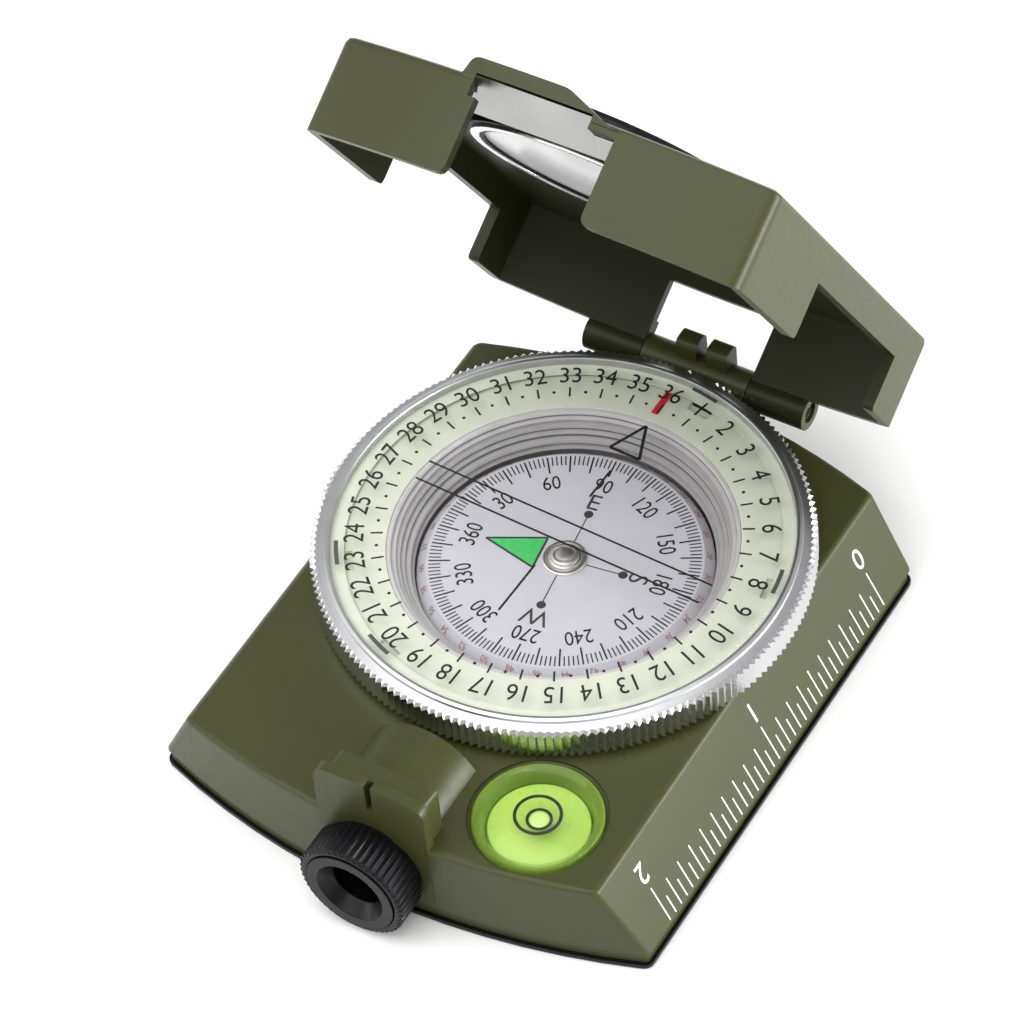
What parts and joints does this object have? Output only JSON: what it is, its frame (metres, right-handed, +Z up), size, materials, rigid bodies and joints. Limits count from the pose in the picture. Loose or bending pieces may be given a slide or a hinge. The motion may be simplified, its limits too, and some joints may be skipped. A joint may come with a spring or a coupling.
{
  "type": "sighting compass",
  "caption": "Pocket sighting compass with a turning bezel, floating dial, focusing eyepiece, round bubble level and a hinged lid with a sight window.",
  "frame": {"origin": "on the underside, under the centre of the dial", "axes": "+X towards the ruler edge, +Y towards the lid hinge, +Z up out of the dial"},
  "size_m": [0.064, 0.0906, 0.0838],
  "materials": {
    "paint": "satin olive paint",
    "black_plastic": "satin",
    "aluminium": "polished",
    "steel": "bright",
    "luminous": "satin luminous",
    "index_red": "matte",
    "pivot_brass": "polished",
    "card": "satin",
    "level_lime": "gloss",
    "clear_plastic": "clear gloss",
    "lid_mirror": "polished"
  },
  "bodies": {
    "base": {"base_housing": "paint", "bottom_cover": "black_plastic", "cover_screw_1": "steel", "cover_screw_2": "steel", "cover_screw_3": "steel", "cover_screw_4": "steel", "capsule_bowl": "black_plastic", "capsule_liner": "clear_plastic", "capsule_lens": "clear_plastic", "luminous_ring": "luminous", "index_mark": "index_red", "bezel_spring": "steel", "pivot_post": "pivot_brass", "level_body": "level_lime", "level_vial": "clear_plastic", "prism": "clear_plastic", "hinge_pin": "steel"},
    "bezel": {"bezel_ring": "aluminium", "bezel_glass": "clear_plastic"},
    "dial": {"dial_card": "card", "dial_magnet": "steel", "dial_jewel": "aluminium"},
    "focus": {"focus_ring": "black_plastic", "eyepiece_barrel": "black_plastic", "eyepiece_lens": "clear_plastic", "lens_retainer": "steel"},
    "lid": {"lid_shell": "paint", "window_ring": "black_plastic", "window_gasket": "black_plastic", "window_glass": "clear_plastic", "window_rim": "aluminium", "sight_hairline": "steel", "lid_mirror": "lid_mirror"}
  },
  "joints": [
    {"name": "bezel_turn", "type": "hinge", "parent": "base", "child": "bezel", "pos_m": [0, 0, 0.0157], "axis": [0, 0, 1], "continuous": true},
    {"name": "dial_swing", "type": "hinge", "parent": "base", "child": "dial", "pos_m": [0, 0, 0.013], "axis": [0, 0, 1], "continuous": true},
    {"name": "lid_fold", "type": "hinge", "parent": "base", "child": "lid", "pos_m": [0, 0.03203, 0.01374], "axis": [-1, 0, 0], "range_deg": [-59.4, 85]},
    {"name": "focus_turn", "type": "hinge", "parent": "base", "child": "focus", "pos_m": [0, -0.046, 0.0072], "axis": [0, 1, 0], "range_deg": [-180, 180]}
  ]
}
